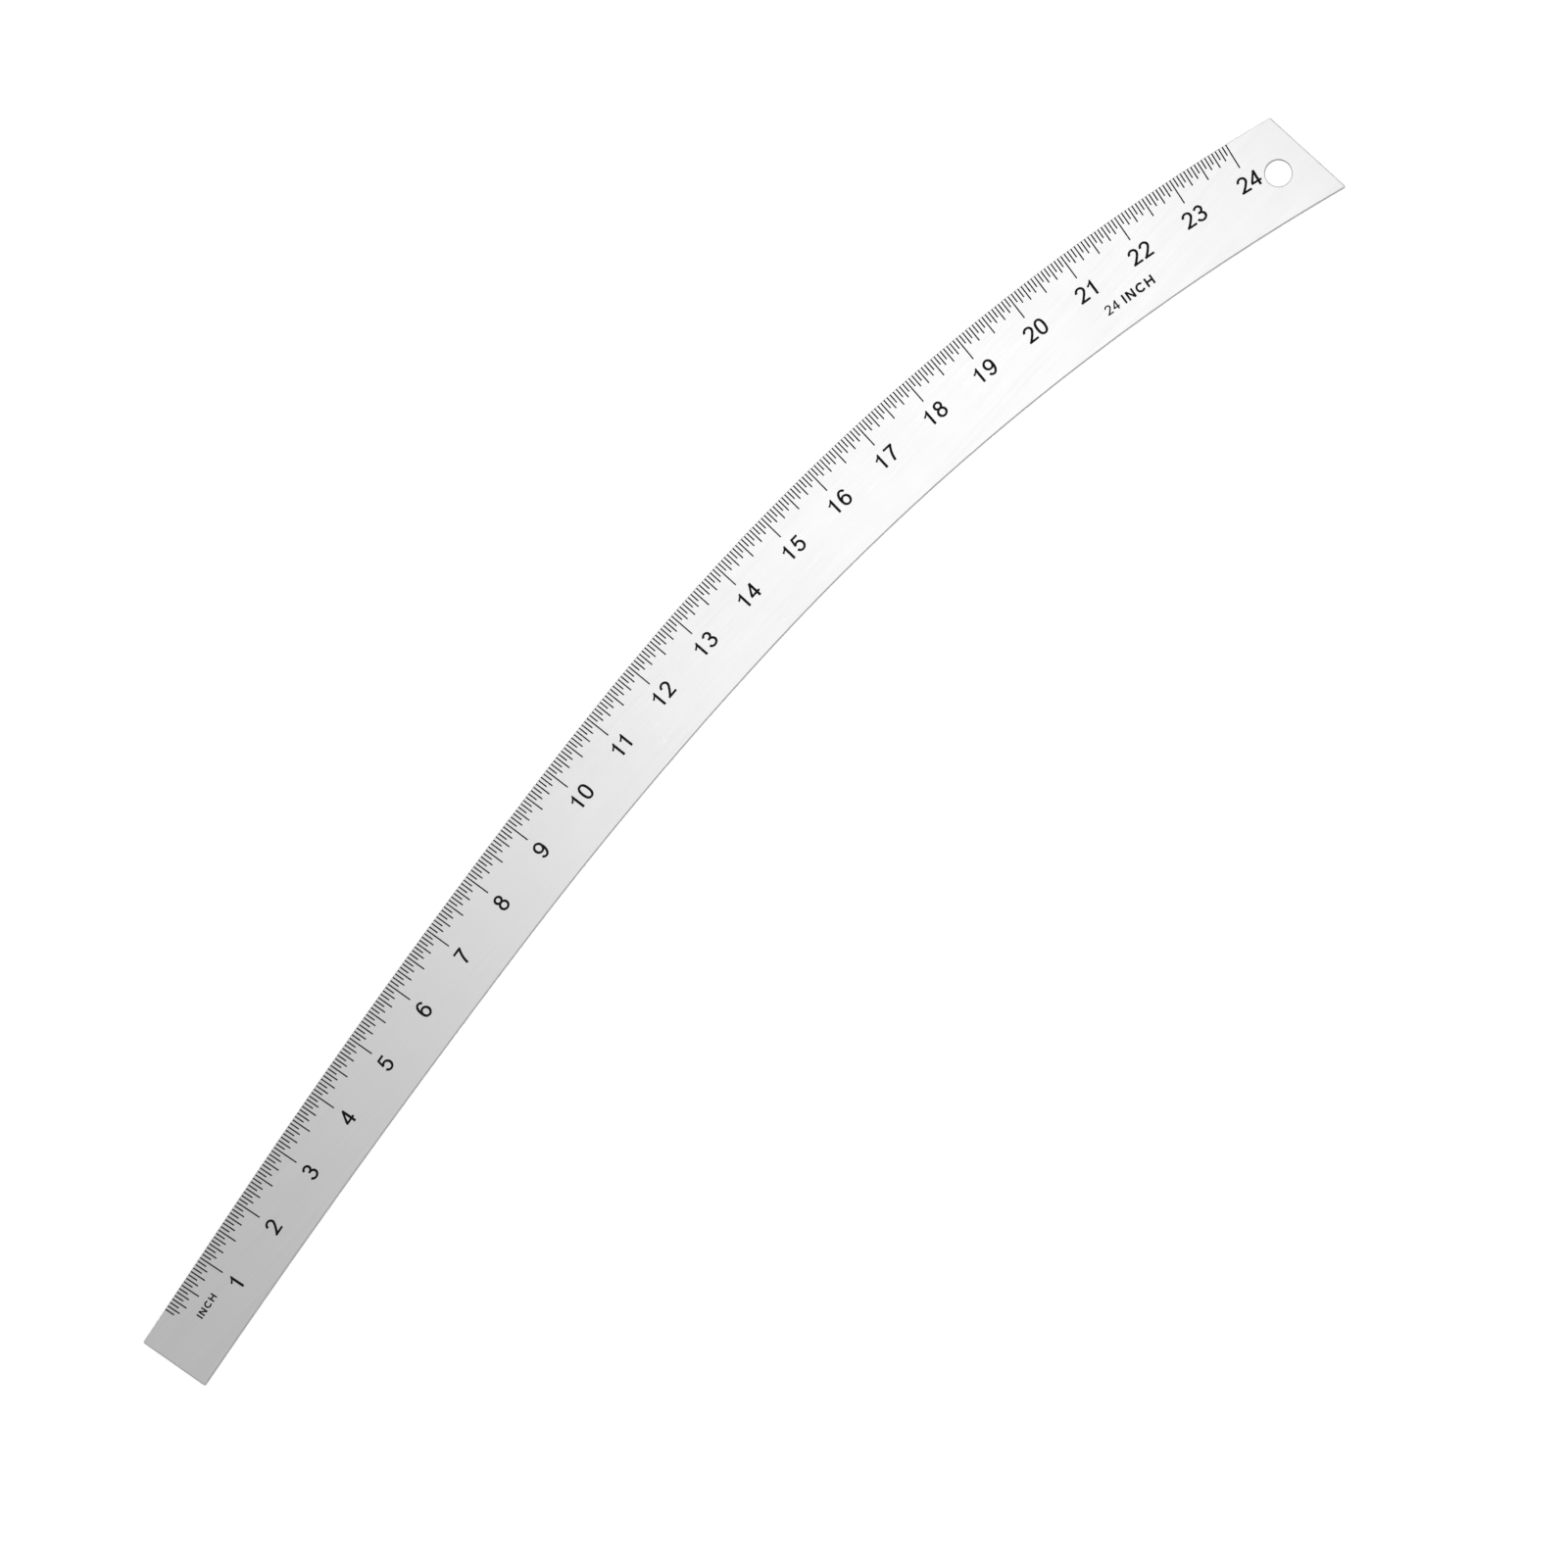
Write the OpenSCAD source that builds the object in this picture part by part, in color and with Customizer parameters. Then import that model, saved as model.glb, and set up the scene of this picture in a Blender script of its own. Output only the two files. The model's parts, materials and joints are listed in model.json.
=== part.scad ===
// Curved steel ruler: a flat, crescent-shaped blade with an inch scale along its convex edge.
// The blade lies flat with its back on Z = 0, the chord of the graduated edge runs along X,
// and the narrow end of the blade points to -X. The scale faces +Z. Units are mm.

/* [Blade] */
// Thickness of the steel sheet
blade_thick = 1.2; // [0.8:0.1:2.0]
// Length of the narrow end, corner to corner
narrow_end = 28.7; // [26:0.1:31]
// How far the narrow end leans from square to the graduated edge, degrees
narrow_lean = 1.3; // [-3:0.1:3]
// Direction of the wide end's cut, degrees below the chord
wide_cut = 89.6; // [86:0.1:93]
// Angle by which the back edge first opens away from the graduated edge, degrees
back_taper = 0.64; // [0.3:0.01:1.0]

/* [Graduated edge] */
// Straight stretch at the narrow end
straight_len = 61.6; // [40:0.2:90]
// Length of the gently curved stretch
gentle_len = 210; // [180:1:240]
// Radius of the gently curved stretch
gentle_r = 3100; // [2800:50:3500]
// Length of the easing stretch
ease_len = 59; // [40:1:80]
// Radius of the easing stretch
ease_r = 1340; // [1200:20:1500]
// Radius of the full curve, which runs on to the wide end
full_r = 920; // [880:10:980]
// Edge left over beyond the last inch
tail_len = 19.9; // [19:0.1:30]

/* [Back edge] */
// Length of the first, flattest stretch
back_flat_len = 210; // [180:1:240]
// Radius of the first stretch
back_flat_r = 4150; // [3800:50:4800]
// Length of the middle stretch
back_mid_len = 152; // [130:1:180]
// Radius of the middle stretch
back_mid_r = 1520; // [1400:20:1700]
// Radius of the last stretch
back_full_r = 938; // [900:2:1000]

/* [Hanging hole] */
// Diameter of the hole
hole_d = 10.5; // [6:0.5:12]
// Distance of its centre in from the graduated edge
hole_in = 19.8; // [16:0.2:24]
// Distance of its centre back from the wide end, along the graduated edge
hole_back = 8.1; // [7.5:0.1:9.5]

/* [Scale] */
// Whole inches on the scale
inches = 24; // [12:1:24]
// Edge left before the zero of the scale
zero_len = 13.6; // [8:0.1:20]
// Width of a graduation line
line_w = 0.55; // [0.2:0.05:0.6]
// Bare rim between a line and the edge
line_rim = 0.1; // [0.1:0.05:0.4]
// Reach of a sixteenth line from the edge
reach_16 = 4.0; // [3:0.1:5]
// Reach of an eighth line from the edge
reach_8 = 5.5; // [5:0.1:6]
// Reach of a quarter line from the edge
reach_4 = 6.5; // [6:0.1:7]
// Reach of a half inch line from the edge
reach_2 = 8.0; // [7:0.1:9]
// Reach of an inch line from the edge
reach_1 = 10.5; // [9:0.1:12]

/* [Lettering] */
// Height of the inch numerals
digit_h = 6.3; // [5:0.1:7]
// Distance from the graduated edge to the top of the numerals
digit_in = 13.7; // [12.5:0.1:15]
// Spacing of the two digits of a numeral
digit_pitch = 5.1; // [4.8:0.1:6]
// Shift of a two digit numeral towards the wide end
pair_shift = 0.35; // [0:0.05:1]
// How much closer together the two ones of eleven stand
ones_kern = 0.5; // [0:0.1:1]
// Height of the unit legend
legend_h = 2.8; // [2:0.1:3.2]
// Distance from the scale's zero to the legend
legend_from_zero = 6.2; // [5:0.1:8]
// Distance from the graduated edge to the legend's foot
legend_in = 13.9; // [13:0.1:15]
// Height of the length mark
mark_h = 3.8; // [3:0.1:5]
// Distance of the length mark's middle before the last inch line, in inches
mark_back = 2.5; // [2:0.5:10]
// Distance from the graduated edge to the length mark's foot
mark_in = 29.5; // [27:0.1:31]
// Thickness of the printed ink
ink_thick = 0.04; // [0.02:0.01:0.1]

/* [Hidden] */
$fn = 96;
inch = 25.4;
deg = 180 / PI;
edge_len = zero_len + inches * inch + tail_len;

// Edges are chains of [length, radius] stretches, each tangent to the one before.
// Radius 0 is a straight; the others bend down, and the last one runs on.
grad_chain = [[straight_len, 0], [gentle_len, gentle_r], [ease_len, ease_r], [edge_len, full_r]];
back_chain = [[back_flat_len, back_flat_r], [back_mid_len, back_mid_r], [edge_len, back_full_r]];

// A place on an edge is [x, y, heading].
function go(p, len, r) =
    r == 0 ? [p[0] + len * cos(p[2]), p[1] + len * sin(p[2]), p[2]]
    : let (h = p[2] - len / r * deg)
      [p[0] + r * (sin(p[2]) - sin(h)), p[1] + r * (cos(h) - cos(p[2])), h];
function along(p, chain, s, i = 0) =
    i == len(chain) - 1 || s <= chain[i][0] ? go(p, s, chain[i][1])
    : along(go(p, chain[i][0], chain[i][1]), chain, s - chain[i][0], i + 1);

// The graduated edge is turned so that its two ends are level.
level_end = along([0, 0, 0], grad_chain, edge_len);
grad_0 = [0, 0, -atan2(level_end[1], level_end[0])];
grad_1 = along(grad_0, grad_chain, edge_len);

// The back edge leaves the foot of the narrow end and stops on the wide end's cut.
narrow_dir = grad_0[2] - 90 - narrow_lean;
back_0 = [narrow_end * cos(narrow_dir), narrow_end * sin(narrow_dir), grad_0[2] - back_taper];
function past_cut(p) = (p[0] - grad_1[0]) * sin(wide_cut) + (p[1] - grad_1[1]) * cos(wide_cut);
function back_stop(s, k = 0) =
    k == 8 ? s
    : let (p = along(back_0, back_chain, s))
      back_stop(s - past_cut(p) / cos(p[2]), k + 1);
back_len = back_stop(edge_len);

// Corners of the outline sit half way between two sixteenth lines, half an inch apart.
first_s = zero_len + inch / 32 - floor(zero_len / (inch / 2)) * inch / 2;
function edge_stops(total) = [0, for (s = first_s; s < total - 3; s = s + inch / 2) s, total];
grad_pts = [for (s = edge_stops(edge_len)) along(grad_0, grad_chain, s)];
back_pts = [for (s = edge_stops(back_len)) along(back_0, back_chain, s)];
outline = [for (p = concat(grad_pts, [for (i = [len(back_pts) - 1 : -1 : 0]) back_pts[i]])) [p[0], p[1]]];

// Middle of the outline's bounding box.
xs = [for (p = outline) p[0]];
ys = [for (p = outline) p[1]];
mid = [(min(xs) + max(xs)) / 2, (min(ys) + max(ys)) / 2];

// Sizes of the lettering's strokes, as shares of its height.
stem = 0.165;
bar = 0.14;
legend_stroke = 0.22;
legend_gap = 0.26;
number_box = 0.777;
n_wide = 0.88;
c_wide = 0.92;
h_wide = 0.9;

function number_name(n) = str("numeral_", n < 10 ? "0" : "", n);

// Moves onto the graduated edge at s, with Y pointing out of the blade.
module on_edge(s) {
    p = along(grad_0, grad_chain, s);
    translate([p[0] - mid[0], p[1] - mid[1], blade_thick]) rotate([0, 0, p[2]]) children();
}

// ---- Strokes and letters, on a grid where the lettering's height is 1 ----
function arc(cx, cy, rx, ry, a0, a1, n) =
    [for (i = [0 : n]) let (a = a0 + (a1 - a0) * i / n) [cx + rx * cos(a), cy + ry * sin(a)]];
function bend(a, b, c, n) =
    [for (i = [1 : n]) let (t = i / n) (1 - t) * (1 - t) * a + 2 * t * (1 - t) * b + t * t * c];
// An oval of squareness e, where 2 is an ellipse.
function oval(cx, cy, rx, ry, e, n) =
    [for (i = [0 : n - 1]) let (a = 360 * i / n, c = cos(a), s = sin(a))
        [cx + rx * sign(c) * pow(abs(c), 2 / e), cy + ry * sign(s) * pow(abs(s), 2 / e)]];
// Half the stroke, square to the path at its point i. Level strokes are thinner than upright ones.
function half(path, i) =
    let (a = path[max(i - 1, 0)], b = path[min(i + 1, len(path) - 1)],
         d = (b - a) / norm(b - a), w = norm([stem * d[1], bar * d[0]]))
    [-d[1] * w / 2, d[0] * w / 2];

module band(path, h) {
    polygon(h * concat([for (i = [0 : len(path) - 1]) path[i] - half(path, i)],
                       [for (i = [len(path) - 1 : -1 : 0]) path[i] + half(path, i)]));
}
module ring(cx, cy, rx, ry, e, h) {
    difference() {
        polygon(h * oval(cx, cy, rx + stem / 2, ry + bar / 2, e, 48));
        polygon(h * oval(cx, cy, rx - stem / 2, ry - bar / 2, e, 40));
    }
}
module box(x0, y0, x1, y1, h) {
    polygon(h * [[x0, y0], [x1, y0], [x1, y1], [x0, y1]]);
}
module six(h, turned) {
    // A nine is a six turned half way round the middle of its box.
    flip = turned ? -1 : 1;
    c = [number_box / 2, 0.494];
    function put(q) = [for (p = q) c + flip * (p - c)];
    difference() {
        union() {
            polygon(h * put(oval(0.39, 0.313, 0.262 + stem / 2, 0.28 + bar / 2, 2, 48)));
            band(put(concat(arc(0.403, 0.74, 0.235, 0.214, 12, 90, 11),
                            arc(0.403, 0.45, 0.285, 0.504, 97.5, 191.25, 14))), h);
        }
        polygon(h * put(oval(0.39, 0.313, 0.262 - stem / 2, 0.28 - bar / 2, 2, 40)));
    }
}

module digit(d, h) {
    if (d == 0) ring(number_box / 2, 0.494, 0.262, 0.454, 2.4, h);
    if (d == 1) {
        polygon(h * concat([[0.5 - stem, 0], [0.5, 0], [0.5, 1], [0.412, 1]],
                           bend([0.412, 1], [0.34, 0.83], [0.085, 0.742], 7),
                           bend([0.085, 0.602], [0.24, 0.66], [0.5 - stem, 0.76], 5)));
    }
    if (d == 2) {
        box(0.045, 0, 0.71, bar, h);
        band(concat(arc(0.385, 0.716, 0.254, 0.228, 180, -28, 22),
                    bend([0.609, 0.609], [0.515, 0.425], [0.137, 0.07], 9)), h);
    }
    if (d == 3) {
        band(concat(arc(0.375, 0.736, 0.222, 0.208, 162, -90, 24), [[0.28, 0.528]]), h);
        band(arc(0.37, 0.283, 0.276, 0.24, 100, -168, 26), h);
    }
    if (d == 4) {
        box(0.59 - stem, 0, 0.59, 1, h);
        box(0.01, 0.36 - bar, 0.712, 0.36, h);
        polygon(h * [[0.01, 0.36], [0.01, 0.3], [0.16, 0.3], [0.51, 0.85], [0.51, 1], [0.46, 1]]);
    }
    if (d == 5) {
        box(0.2, 0.986 - bar, 0.68, 0.986, h);
        polygon(h * [[0.085, 0.458], [0.222, 0.476], [0.31, 0.92], [0.25, 0.986], [0.182, 0.986]]);
        band(arc(0.384, 0.322, 0.27, 0.282, 146, -166, 28), h);
    }
    if (d == 6) six(h, false);
    if (d == 7) {
        box(0.066, 0.986 - bar, 0.712, 0.986, h);
        band(concat([[0.652, 0.926]], bend([0.652, 0.926], [0.33, 0.52], [0.272, 0], 8)), h);
    }
    if (d == 8) {
        ring(number_box / 2, 0.746, 0.222, 0.202, 2, h);
        ring(number_box / 2, 0.287, 0.262, 0.247, 2, h);
    }
    if (d == 9) six(h, true);
}

module letter_i(h) box(0, 0, legend_stroke, 1, h);
module letter_n(h) {
    w = legend_stroke;
    box(0, 0, w, 1, h);
    box(n_wide - w, 0, n_wide, 1, h);
    polygon(h * [[0, 1], [n_wide - w - 0.01, 0], [n_wide, 0], [w + 0.01, 1]]);
}
module letter_c(h) {
    w = legend_stroke;
    outer = arc(0.51, 0.5, 0.51, 0.515, 40, 320, 30);
    inner = arc(0.51, 0.5, 0.51 - w, 0.515 - w, 320, 40, 26);
    polygon(h * concat(outer, inner));
}
module letter_h(h) {
    w = legend_stroke;
    box(0, 0, w, 1, h);
    box(h_wide - w, 0, h_wide, 1, h);
    box(0, 0.52 - w / 2, h_wide, 0.52 + w / 2, h);
}
legend_width = legend_stroke + n_wide + c_wide + h_wide + 3 * legend_gap;
module inch_word(h) {
    x1 = legend_stroke + legend_gap;
    x2 = x1 + n_wide + legend_gap;
    x3 = x2 + c_wide + legend_gap;
    letter_i(h);
    translate([h * x1, 0]) letter_n(h);
    translate([h * x2, 0]) letter_c(h);
    translate([h * x3, 0]) letter_h(h);
}

// ---- Sub-parts ----
module blade() {
    color([0.72, 0.72, 0.72])
    difference() {
        linear_extrude(blade_thick) polygon([for (p = outline) p - mid]);
        translate([0, 0, -blade_thick]) on_edge(edge_len - hole_back) translate([0, -hole_in, -1])
            cylinder(h = blade_thick + 2, d = hole_d);
    }
}

// Lines at every k-th sixteenth of an inch that no longer line covers.
module lines(k, reach) {
    color([0.08, 0.08, 0.09])
    for (i = [1 : inches * 16])
        if (i % k == 0 && (k == 16 || i % (2 * k) != 0))
            on_edge(zero_len + i * inch / 16)
                translate([-line_w / 2, -reach, 0]) cube([line_w, reach - line_rim, ink_thick]);
}

module numeral(n) {
    s = zero_len + n * inch;
    tens = floor(n / 10);
    x = -number_box * digit_h / 2;
    pitch = digit_pitch - (n == 11 ? ones_kern : 0);
    color([0.08, 0.08, 0.09])
    on_edge(s) translate([0, -digit_in - digit_h, 0]) linear_extrude(ink_thick)
        if (tens == 0) translate([x, 0]) digit(n, digit_h);
        else {
            translate([x + pair_shift - pitch / 2, 0]) digit(tens, digit_h);
            translate([x + pair_shift + pitch / 2, 0]) digit(n % 10, digit_h);
        }
}

module unit_legend() {
    color([0.08, 0.08, 0.09])
    on_edge(zero_len + legend_from_zero + legend_width * legend_h / 2)
        translate([-legend_width * legend_h / 2, -legend_in, 0])
            linear_extrude(ink_thick) inch_word(legend_h);
}

// The scale's length in inches, as two digits and the word.
module length_mark() {
    pitch = 0.86 * mark_h;
    total = 2 * pitch + 0.45 * mark_h + legend_width * mark_h;
    color([0.08, 0.08, 0.09])
    on_edge(zero_len + (inches - mark_back) * inch) translate([-total / 2, -mark_in, 0])
        linear_extrude(ink_thick) {
            digit(floor(inches / 10), mark_h);
            translate([pitch, 0]) digit(inches % 10, mark_h);
            translate([2 * pitch + 0.45 * mark_h, 0]) inch_word(mark_h);
        }
}

blade();
lines(1, reach_16);  // sixteenth_lines
lines(2, reach_8);  // eighth_lines
lines(4, reach_4);  // quarter_lines
lines(8, reach_2);  // half_lines
lines(16, reach_1);  // inch_lines
unit_legend();
length_mark();
for (n = [1 : inches]) numeral(n);
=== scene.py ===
import json
import math

import bpy
from mathutils import Matrix, Vector
from mathutils.geometry import delaunay_2d_cdt


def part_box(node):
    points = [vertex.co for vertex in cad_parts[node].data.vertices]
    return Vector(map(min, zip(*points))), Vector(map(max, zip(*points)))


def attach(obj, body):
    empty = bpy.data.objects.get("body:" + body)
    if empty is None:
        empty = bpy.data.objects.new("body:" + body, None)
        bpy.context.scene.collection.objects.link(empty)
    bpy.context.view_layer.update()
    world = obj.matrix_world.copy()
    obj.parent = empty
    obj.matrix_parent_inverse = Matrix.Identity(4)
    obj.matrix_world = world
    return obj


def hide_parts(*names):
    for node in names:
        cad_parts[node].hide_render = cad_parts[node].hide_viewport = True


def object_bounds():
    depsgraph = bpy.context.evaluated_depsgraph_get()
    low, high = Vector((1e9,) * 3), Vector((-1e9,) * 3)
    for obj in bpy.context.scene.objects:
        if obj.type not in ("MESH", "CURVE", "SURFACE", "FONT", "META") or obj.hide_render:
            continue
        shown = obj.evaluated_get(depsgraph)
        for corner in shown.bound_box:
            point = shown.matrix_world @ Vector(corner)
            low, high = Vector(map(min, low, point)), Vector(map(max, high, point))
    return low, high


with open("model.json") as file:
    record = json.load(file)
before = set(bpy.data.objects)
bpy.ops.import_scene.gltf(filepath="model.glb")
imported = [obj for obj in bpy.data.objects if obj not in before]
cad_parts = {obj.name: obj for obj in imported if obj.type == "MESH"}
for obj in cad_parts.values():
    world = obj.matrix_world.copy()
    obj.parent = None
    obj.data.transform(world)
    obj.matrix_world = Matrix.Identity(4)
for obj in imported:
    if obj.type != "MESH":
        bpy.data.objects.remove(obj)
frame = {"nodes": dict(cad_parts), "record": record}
cad_box = [list(v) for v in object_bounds()]
nodes = frame["nodes"]
hole = [m for m in frame["record"]["mounts"] if m["name"] == "hanging_hole"][0]

# Sizes are in metres.
MM = 0.001

# The blade's rim. The corners are rounder than the roll-over is wide, so that it can follow them.
CORNER_R = 0.32 * MM
BACK_EASE = 0.12 * MM
BORE_EASE = 0.10 * MM
ROLL_DROP = 0.11 * MM
ROLL_WIDE = 0.30 * MM
# Along the graduated edge the lines come close to the rim, and the sheet rolls over less. That edge
# is where the way into the metal points to -Y by this much or more.
ROLL_NARROW = 0.09 * MM
GRADUATED_FACING = 0.7
CORNER_STEPS = 8
RIM_STEPS = 5
BORE_STEPS = 120
# A bend in the outline that is sharper than this is a corner.
SHARP_BEND = math.radians(25)

# The floor lies just under the blade, and reaches far past it.
FLOOR_GAP = 0.02 * MM
FLOOR_HALF = 9.0

# Brightness of the studio at the horizon and overhead, and how far up the overhead tone starts, where
# the horizon is 0 and straight up is 1.
HORIZON = 0.80
OVERHEAD = 0.56
OVERHEAD_FROM = 0.8

# A soft overhead panel by the wide end: its reflection brightens the steel towards that end.
PANEL_PLACE = (0.20, 0.0, 0.85)
PANEL_AIM = (0.20, 0.0, 0.0)
PANEL_SIDE = 0.6
PANEL_POWER = 1.52

# A broad soft lamp from beyond the graduated edge: it draws a thin shadow under the other edge.
LAMP_PLACE = (0.30, 0.60, 1.5)
LAMP_AIM = (0.0, 0.0, 0.0)
LAMP_ANGLE = math.radians(9)
LAMP_POWER = 1.9

# The view: how wide a stretch it shows at the printed face, its middle, and how far it is turned.
VIEW_WIDTH = 0.6
VIEW_MIDDLE = (0.0047, -0.0362)
VIEW_TURN = math.radians(-47.38)
LENS_MM = 200.0
SENSOR_MM = 36.0


def add_object(name, data):
    obj = bpy.data.objects.new(name, data)
    bpy.context.scene.collection.objects.link(obj)
    return obj


# ---- Materials ----------------------------------------------------------------------------------

def grey(v):
    return (v, v, v, 1)


class Tree:
    """A short way to write a node material. Any value may be a number, a colour or a socket."""

    def __init__(self, name):
        self.mat = bpy.data.materials.new(name)
        self.mat.use_nodes = True
        self.t = self.mat.node_tree
        self.t.nodes.clear()
        out = self.t.nodes.new("ShaderNodeOutputMaterial")
        self.bsdf = self.t.nodes.new("ShaderNodeBsdfPrincipled")
        self.t.links.new(self.bsdf.outputs[0], out.inputs[0])

    def put(self, socket, v):
        if isinstance(v, bpy.types.NodeSocket):
            self.t.links.new(v, socket)
        else:
            socket.default_value = v

    def shade(self, name, v):
        """Sets one of the shader's own inputs."""
        self.put(self.bsdf.inputs[name], v)

    def node(self, kind, inputs=None, **props):
        n = self.t.nodes.new("ShaderNode" + kind)
        for k, v in props.items():
            setattr(n, k, v)
        for k, v in (inputs or {}).items():
            self.put(n.inputs[k], v)
        return n

    def calc(self, op, a, b=0.0):
        return self.node("Math", {0: a, 1: b}, operation=op).outputs[0]

    def add(self, a, b):
        return self.calc("ADD", a, b)

    def times(self, a, b):
        return self.calc("MULTIPLY", a, b)

    def coords(self, sx=1, sy=1, sz=1, turn=0.0):
        """Places on the object, stretched along each axis and turned about Z."""
        here = self.node("TexCoord").outputs["Object"]
        stretch = {"Vector": here, "Scale": (sx, sy, sz), "Rotation": (0, 0, turn)}
        return self.node("Mapping", stretch).outputs[0]

    def noise(self, vector, scale, detail, rough=0.55):
        look = {"Vector": vector, "Scale": scale, "Detail": detail, "Roughness": rough}
        return self.node("TexNoise", look).outputs[0]

    def remap(self, v, a0, a1, b0, b1):
        """Takes a0..a1 to b0..b1, and stays between b0 and b1."""
        ends = {"Value": v, "From Min": a0, "From Max": a1, "To Min": b0, "To Max": b1}
        return self.node("MapRange", ends).outputs[0]

    def blend(self, share, a, b):
        """Colour a, or b where the share is 1."""
        return self.node("Mix", {0: share, 6: a, 7: b}, data_type="RGBA").outputs[2]

    def bump(self, height, strength, depth):
        relief = self.node("Bump", {"Strength": strength, "Distance": depth, "Height": height})
        self.shade("Normal", relief.outputs[0])


def hairlines(m, turn, sx, sy, width):
    """Sparse fine scratches, in patches, at a shallow angle to the blade's length."""
    wave = m.noise(m.coords(sx, sy, 60, turn), 1.0, 1.0, 0.4)
    line = m.remap(m.calc("ABSOLUTE", m.calc("SUBTRACT", wave, 0.5)), 0.0, width, 1.0, 0.0)
    patch = m.remap(m.noise(m.coords(turn=turn), 55.0, 2.0), 0.56, 0.66, 0.0, 1.0)
    return m.times(line, patch)


def steel_material():
    """Satin sheet steel: fine lengthwise grain, faint handling haze, hairlines and a duller rim, whose
    roll-over is painted shade.
    """
    m = Tree("satin_steel")
    # The grain runs along the sheet's rolling direction, the ruler's length.
    fine = m.noise(m.coords(45, 5200, 900), 1.0, 4.0, 0.6)
    long = m.noise(m.coords(9, 1500, 300), 1.0, 3.0, 0.5)
    grain = m.add(m.times(fine, 0.6), m.times(long, 0.4))
    haze = m.noise(m.coords(), 26.0, 4.0, 0.6)
    hair = m.calc("MAXIMUM", hairlines(m, 0.22, 14, 420, 0.004), hairlines(m, -0.35, 18, 360, 0.003))

    # The rim is where the sheet was cut: it is no longer level. Its sheared wall is upright and a duller
    # grey. The roll-over between the wall and the face is given a near-black colour: painted shade,
    # standing in for the dark line of shade along the edges and around the hole.
    normal = m.node("NewGeometry").outputs["Normal"]
    level = m.calc("ABSOLUTE", m.node("SeparateXYZ", {0: normal}).outputs[2])
    # The rim mask covers both the duller cut wall and the painted shade on the roll-over.
    rim = m.remap(level, 0.90, 0.995, 1.0, 0.0)
    painted_shade_share = m.remap(level, 0.2, 0.6, 0.0, 1.0)
    shear = m.noise(m.coords(2600, 2600, 260), 1.0, 3.0, 0.6)

    face = m.blend(m.remap(grain, 0.35, 0.65, 0.0, 1.0), grey(0.703), grey(0.741))
    face = m.blend(m.remap(haze, 0.4, 0.75, 0.0, 0.15), face, grey(0.69))
    face = m.blend(m.times(hair, 0.3), face, grey(0.82))
    wall = m.blend(shear, grey(0.26), grey(0.42))
    # The roll-over's near-black grey is painted shade: it draws the dark line of shade along the edges.
    roll = m.blend(shear, grey(0.08), grey(0.17))
    m.shade("Base Color", m.blend(rim, face, m.blend(painted_shade_share, wall, roll)))
    m.shade("Metallic", 1.0)

    rough = m.add(m.remap(grain, 0.3, 0.7, 0.36, 0.45), m.remap(haze, 0.35, 0.75, -0.005, 0.015))
    rough = m.calc("SUBTRACT", rough, m.times(hair, 0.08))
    m.shade("Roughness", m.add(rough, m.times(rim, 0.14)))
    height = m.add(m.times(grain, 0.5), m.times(hair, -0.6))
    height = m.add(height, m.times(m.times(shear, rim), 3.0))
    m.bump(height, 0.2, 0.02 * MM)
    return m.mat


def ink_material():
    """Matte black print: even, with a trace of mottle where the film is thinner."""
    m = Tree("printed_ink")
    mottle = m.noise(m.coords(), 900.0, 3.0, 0.6)
    patch = m.noise(m.coords(), 60.0, 2.0, 0.5)
    thin = m.times(m.remap(mottle, 0.45, 0.8, 0.0, 1.0), m.remap(patch, 0.35, 0.7, 0.3, 1.0))
    m.shade("Base Color", m.blend(thin, grey(0.003), grey(0.010)))
    m.shade("Roughness", m.remap(mottle, 0.3, 0.7, 0.5, 0.68))
    m.shade("Specular IOR Level", 0.08)
    m.bump(mottle, 0.25, 0.008 * MM)
    return m.mat


def floor_material():
    """Pale matte floor with hardly any variation."""
    m = Tree("pale_floor")
    m.shade("Base Color", m.blend(m.noise(m.coords(), 3.0, 2.0), grey(0.86), grey(0.88)))
    m.shade("Roughness", 0.9)
    m.shade("Specular IOR Level", 0.1)
    return m.mat


# ---- The blade ----------------------------------------------------------------------------------

def pairs(loop):
    """Each item of a closed loop with the next one."""
    return zip(loop, [*loop[1:], loop[0]])


def cad_outline(obj, z):
    """The outline of the CAD mesh's flat face at height z, counter-clockwise from above."""
    place = [tuple(round(c, 6) for c in v.co) for v in obj.data.vertices]
    uses = {}
    for poly in obj.data.polygons:
        corners = [place[i] for i in poly.vertices]
        if all(abs(c[2] - z) < 0.01 * MM for c in corners):
            for a, b in pairs(corners):
                side = (min(a, b), max(a, b))
                uses[side] = uses.get(side, 0) + 1
    # Sides that only one triangle uses are the face's borders: its outline and its hole.
    near = {}
    for (a, b), n in uses.items():
        if n == 1:
            near.setdefault(a, []).append(b)
            near.setdefault(b, []).append(a)
    loops, left = [], set(near)
    while left:
        loop, before, here = [], None, min(left)
        while here in left:
            loop.append(here)
            left.discard(here)
            before, here = here, [q for q in near[here] if q != before][0]
        loops.append([Vector(q[:2]) for q in loop])
    outline = max(loops, key=len)
    area = sum(a.x * b.y - a.y * b.x for a, b in pairs(outline))
    return outline if area > 0 else outline[::-1]


def bend_at(loop, i):
    """The directions of the loop's sides before and after its point i."""
    before = loop[i] - loop[i - 1]
    after = loop[(i + 1) % len(loop)] - loop[i]
    return before.normalized(), after.normalized()


def left_of(d):
    return Vector((-d.y, d.x))


def ease_corners(loop):
    """Rounds every corner with an arc."""
    out = []
    for i, corner in enumerate(loop):
        a, b = bend_at(loop, i)
        turn = math.acos(max(-1, min(1, a.dot(b))))
        if turn < SHARP_BEND:
            out.append(corner)
            continue
        start = corner - a * (CORNER_R * math.tan(turn / 2))
        hub = start + left_of(a) * CORNER_R
        for k in range(CORNER_STEPS + 1):
            out.append(hub + Matrix.Rotation(turn * k / CORNER_STEPS, 2) @ (start - hub))
    return out


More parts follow.
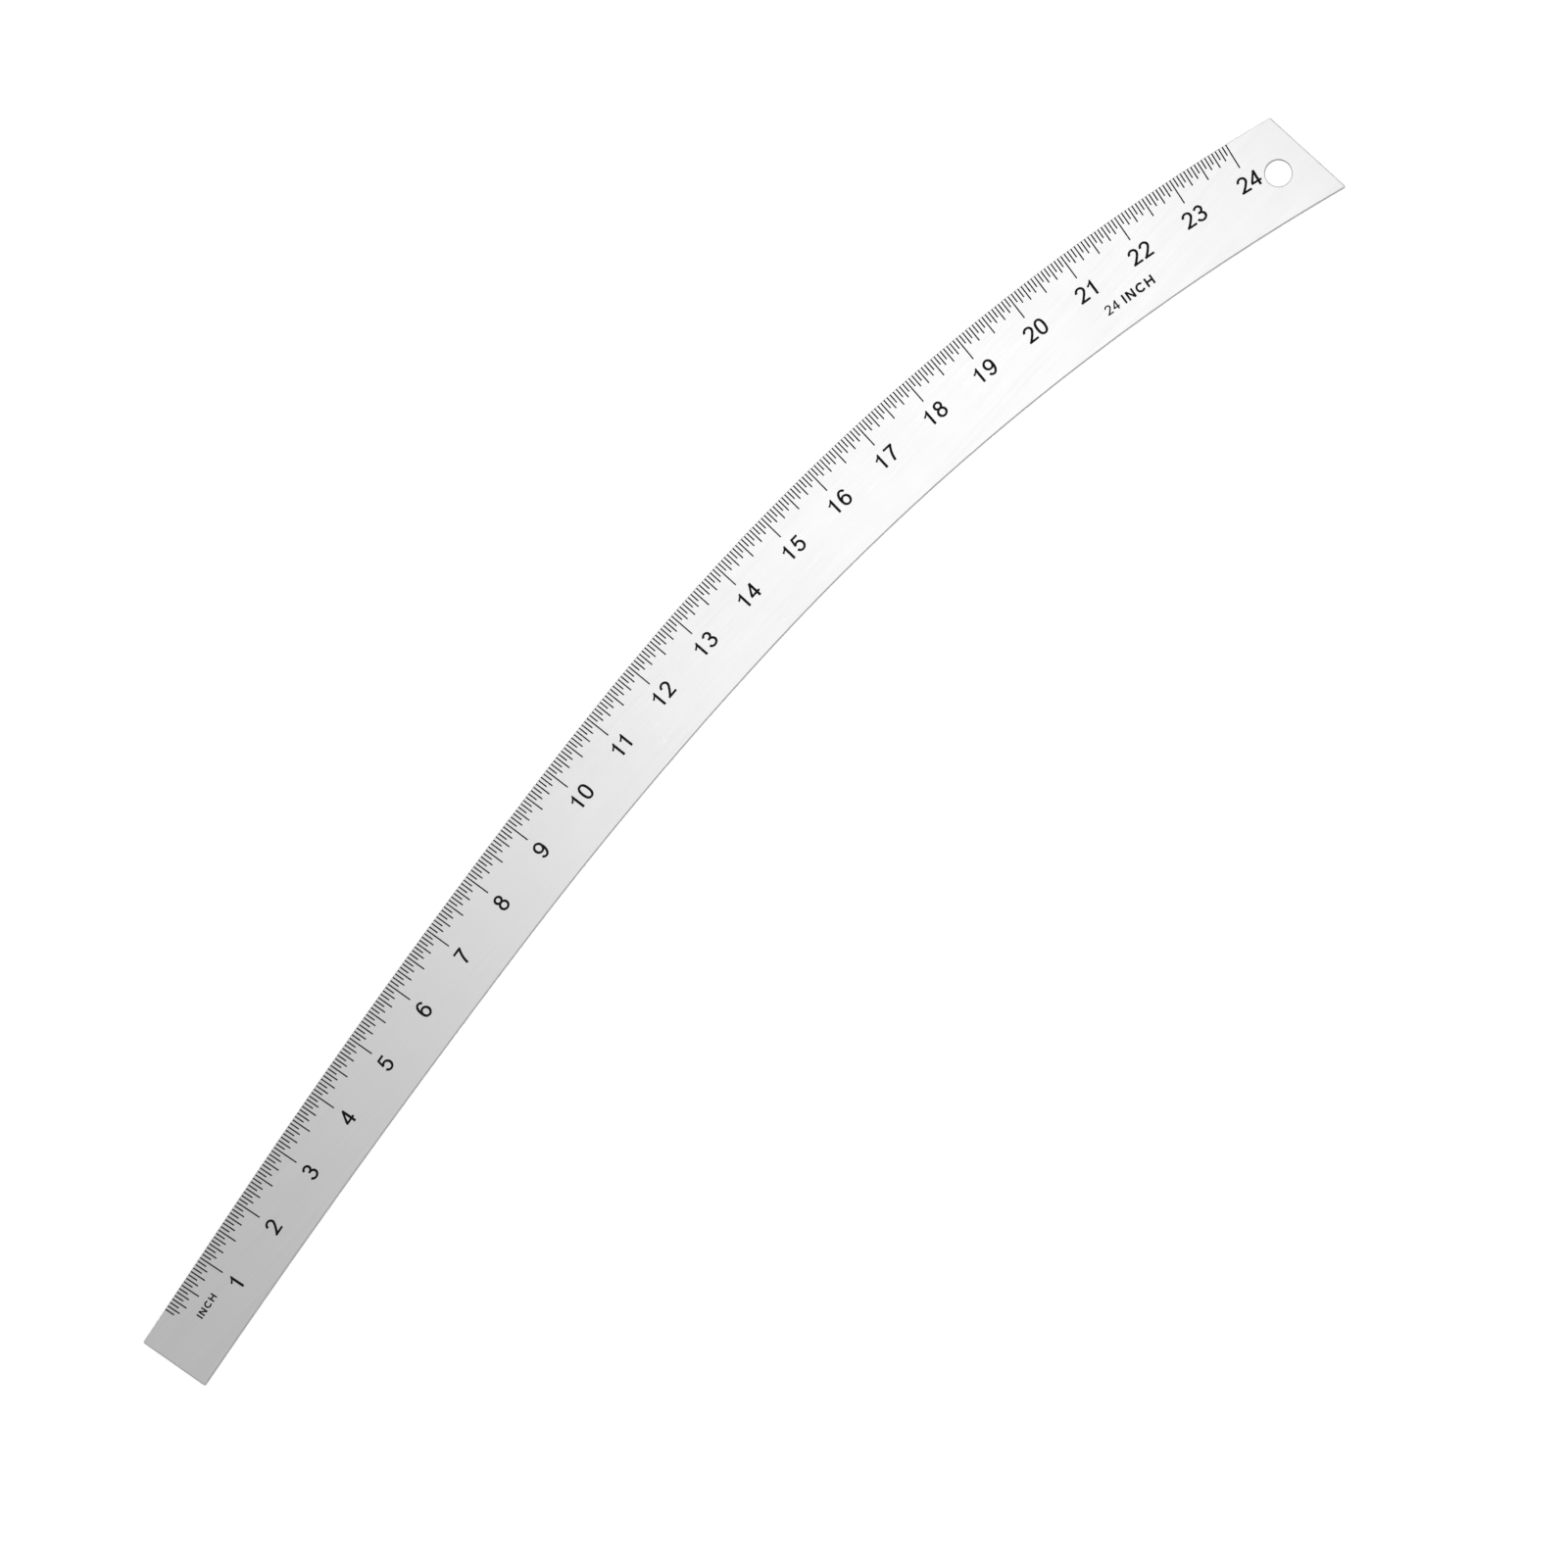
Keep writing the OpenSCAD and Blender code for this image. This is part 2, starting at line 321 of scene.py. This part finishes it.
def bore_loop():
    """The hole's edge, clockwise, so that the metal is on its left as it is on the outline's."""
    centre = Vector(hole["pos_m"][:2])
    r = hole["dims"]["r_mm"] * MM
    angles = [2 * math.pi * k / BORE_STEPS for k in range(BORE_STEPS)]
    return [centre + Vector((math.cos(a), -math.sin(a))) * r for a in angles]


def inward(loop):
    """At each point, the way into the metal and how much further the point goes than its sides."""
    out = []
    for i in range(len(loop)):
        a, b = (left_of(d) for d in bend_at(loop, i))
        n = (a + b).normalized()
        out.append((n, 1 / n.dot(a)))
    return out


def inside(p, loop):
    """Whether a ray from p towards +X crosses the loop an odd number of times."""
    hit = False
    for a, b in pairs(loop):
        if (a.y > p.y) != (b.y > p.y) and p.x < (b.x - a.x) * (p.y - a.y) / (b.y - a.y) + a.x:
            hit = not hit
    return hit


def add_rim(verts, faces, loop, base, top, ease, narrow):
    """Adds the cut edge along a loop, which rolls over less, down to narrow, where it is graduated.

    Returns the edge's ring on the back face and its ring on the printed face.
    """
    way = inward(loop)
    graduated = [max(0, min(1, -n.y / GRADUATED_FACING)) for n, _ in way]
    roll = [ROLL_WIDE + (narrow - ROLL_WIDE) * share for share in graduated]
    angles = [math.pi / 2 * k / RIM_STEPS for k in range(RIM_STEPS + 1)]
    # Each row is the inset at every point and the height.
    rows = [([ease * (1 - math.sin(a))] * len(loop), base + ease * (1 - math.cos(a))) for a in angles]
    rows += [([w * (1 - math.cos(a)) for w in roll], top - ROLL_DROP * (1 - math.sin(a))) for a in angles]
    rings = []
    for insets, z in rows:
        rings.append(range(len(verts), len(verts) + len(loop)))
        for p, (n, further), inset in zip(loop, way, insets):
            q = p + n * inset * further
            verts.append((q.x, q.y, z))
    for low, high in zip(rings, rings[1:]):
        for i in range(len(loop)):
            j = (i + 1) % len(loop)
            faces.append((low[i], low[j], high[j], high[i]))
    return rings[0], rings[-1]


def flat_face(verts, rim_ring, bore_ring, upward):
    """Triangles that fill the level face between its ring on the rim and its ring on the hole."""
    ids = [*rim_ring, *bore_ring]
    flat = [Vector(verts[i][:2]) for i in ids]
    split = len(rim_ring)
    rim, eye = flat[:split], flat[split:]
    edges = [*pairs(range(split)), *pairs(range(split, len(flat)))]
    points, _, tris, origin, _, _ = delaunay_2d_cdt(flat, edges, [], 0, 1e-9)
    faces = []
    for tri in tris:
        middle = sum((points[i] for i in tri), Vector((0, 0))) / 3
        if inside(middle, rim) and not inside(middle, eye):
            face = tuple(ids[origin[i][0]] for i in tri)
            a, b, c = (Vector(verts[i][:2]) for i in face)
            looks_up = (b - a).cross(c - a) > 0
            faces.append(face if looks_up == upward else face[::-1])
    return faces


def make_blade():
    """The sheet, with rolled-over cut edges, a round punched hole and eased corners."""
    lo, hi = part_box("blade")
    outer = ease_corners(cad_outline(nodes["blade"], lo.z))
    verts, faces = [], []
    rim_back, rim_front = add_rim(verts, faces, outer, lo.z, hi.z, BACK_EASE, ROLL_NARROW)
    bore_back, bore_front = add_rim(verts, faces, bore_loop(), lo.z, hi.z, BORE_EASE, ROLL_WIDE)
    curved = len(faces)
    faces += flat_face(verts, rim_back, bore_back, False)
    faces += flat_face(verts, rim_front, bore_front, True)

    me = bpy.data.meshes.new("blade_sheet")
    me.from_pydata(verts, [], faces)
    me.update()
    # Only the rim is shaded smooth, and the line where it meets a flat face is a sharp edge.
    me.polygons.foreach_set("use_smooth", [i < curved for i in range(len(faces))])
    rings = (rim_back, rim_front, bore_back, bore_front)
    borders = {frozenset(side) for ring in rings for side in pairs(ring)}
    sharp = me.attributes.new("sharp_edge", "BOOLEAN", "EDGE")
    sharp.data.foreach_set("value", [frozenset(e.vertices) in borders for e in me.edges])
    return add_object("blade_sheet", me)


blade = make_blade()
blade.data.materials.append(steel_material())
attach(blade, "root")
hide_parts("blade")

ink = ink_material()
for name, obj in nodes.items():
    if name != "blade":
        for s in obj.material_slots:
            s.link = "OBJECT"
            s.material = ink


# ---- Floor, light and camera --------------------------------------------------------------------

def add_floor(z):
    s = FLOOR_HALF
    me = bpy.data.meshes.new("floor")
    me.from_pydata([(-s, -s, z), (s, -s, z), (s, s, z), (-s, s, z)], [], [(0, 1, 2, 3)])
    me.materials.append(floor_material())
    add_object("floor", me)


def add_world():
    """A plain pale studio all round, a little darker overhead."""
    world = bpy.data.worlds.new("studio")
    world.use_nodes = True
    t = world.node_tree
    t.nodes.clear()
    out = t.nodes.new("ShaderNodeOutputWorld")
    light = t.nodes.new("ShaderNodeBackground")
    way = t.nodes.new("ShaderNodeTexCoord")
    split = t.nodes.new("ShaderNodeSeparateXYZ")
    ramp = t.nodes.new("ShaderNodeValToRGB")
    t.links.new(way.outputs["Generated"], split.inputs[0])
    t.links.new(split.outputs[2], ramp.inputs[0])
    t.links.new(ramp.outputs[0], light.inputs[0])
    t.links.new(light.outputs[0], out.inputs[0])
    low, high = ramp.color_ramp.elements
    low.position, low.color = 0.0, grey(HORIZON)
    high.position, high.color = OVERHEAD_FROM, grey(OVERHEAD)
    bpy.context.scene.world = world


def add_light(name, kind, place, aim, power, **props):
    data = bpy.data.lights.new(name, kind)
    data.energy = power
    for k, v in props.items():
        setattr(data, k, v)
    obj = add_object(name, data)
    obj.location = place
    obj.rotation_mode = "QUATERNION"
    obj.rotation_quaternion = (Vector(aim) - Vector(place)).to_track_quat("-Z", "Y")
    obj.visible_camera = False
    return obj


def add_camera(face_z):
    """Looks straight down on the printed face, the blade lying corner to corner in the view."""
    data = bpy.data.cameras.new("camera")
    data.lens, data.sensor_width = LENS_MM, SENSOR_MM
    data.clip_start, data.clip_end = 0.1, 50.0
    height = VIEW_WIDTH * LENS_MM / SENSOR_MM
    place = Matrix.Translation((*VIEW_MIDDLE, face_z + height))
    obj = add_object("camera", data)
    obj.matrix_world = place @ Matrix.Rotation(VIEW_TURN, 4, "Z")
    bpy.context.scene.camera = obj


add_floor(cad_box[0][2] - FLOOR_GAP)
add_world()
add_light("panel", "AREA", PANEL_PLACE, PANEL_AIM, PANEL_POWER,
          shape="RECTANGLE", size=PANEL_SIDE, size_y=PANEL_SIDE)
lamp = add_light("lamp", "SUN", LAMP_PLACE, LAMP_AIM, LAMP_POWER, angle=LAMP_ANGLE)
lamp.visible_glossy = False
add_camera(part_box("blade")[1].z)

view = bpy.context.scene.view_settings
view.view_transform = "Standard"
view.look = "None"
view.exposure = 0.0
view.gamma = 1.0

bpy.context.view_layer.update()
